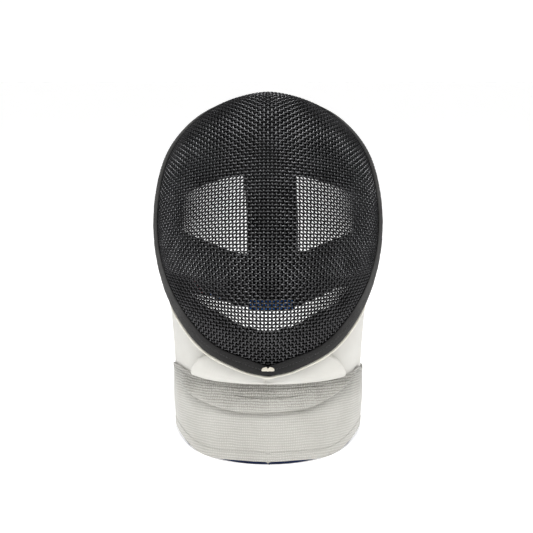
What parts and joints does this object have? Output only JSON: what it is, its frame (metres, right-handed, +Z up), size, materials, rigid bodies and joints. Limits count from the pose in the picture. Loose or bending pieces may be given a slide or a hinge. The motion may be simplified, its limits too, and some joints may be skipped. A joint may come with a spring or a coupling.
{
  "type": "fencing mask",
  "caption": "Fencing mask: a domed front of black woven wire with a padded edge trim, a stiff white and silver grey bib, inner pads, a back tongue and an elastic strap.",
  "frame": {"origin": "centre of the bounding box, at its bottom, on the surface it stands on", "axes": "+Z up, the face towards -Y, +X towards the wearer's left"},
  "size_m": [0.2152, 0.197, 0.3187],
  "materials": {
    "wire_mesh": "black woven steel wire",
    "edge_trim": "charcoal ribbed binding",
    "bib_piping": "cream piping",
    "chin_tab": "cream webbing",
    "bib_body": "white stiff cloth",
    "bib_front_panel": "white stiff cloth",
    "bib_lame": "silver grey woven metallic cloth",
    "bib_lining": "navy lining cloth",
    "crown_pad": "black padded cloth",
    "cheek_pad_left": "black padded cloth",
    "cheek_pad_right": "black padded cloth",
    "chin_pad": "black padded cloth",
    "tongue": "black padded cloth over a spring strip",
    "tongue_patch": "plain blue cloth",
    "back_strap": "black woven elastic"
  },
  "bodies": {
    "root": {"wire_mesh": "wire_mesh", "edge_trim": "edge_trim", "bib_piping": "bib_piping", "chin_tab": "chin_tab", "bib_body": "bib_body", "bib_front_panel": "bib_front_panel", "bib_lame": "bib_lame", "bib_lining": "bib_lining", "crown_pad": "crown_pad", "cheek_pad_left": "cheek_pad_left", "cheek_pad_right": "cheek_pad_right", "chin_pad": "chin_pad", "tongue": "tongue", "tongue_patch": "tongue_patch", "back_strap": "back_strap"}
  },
  "joints": []
}
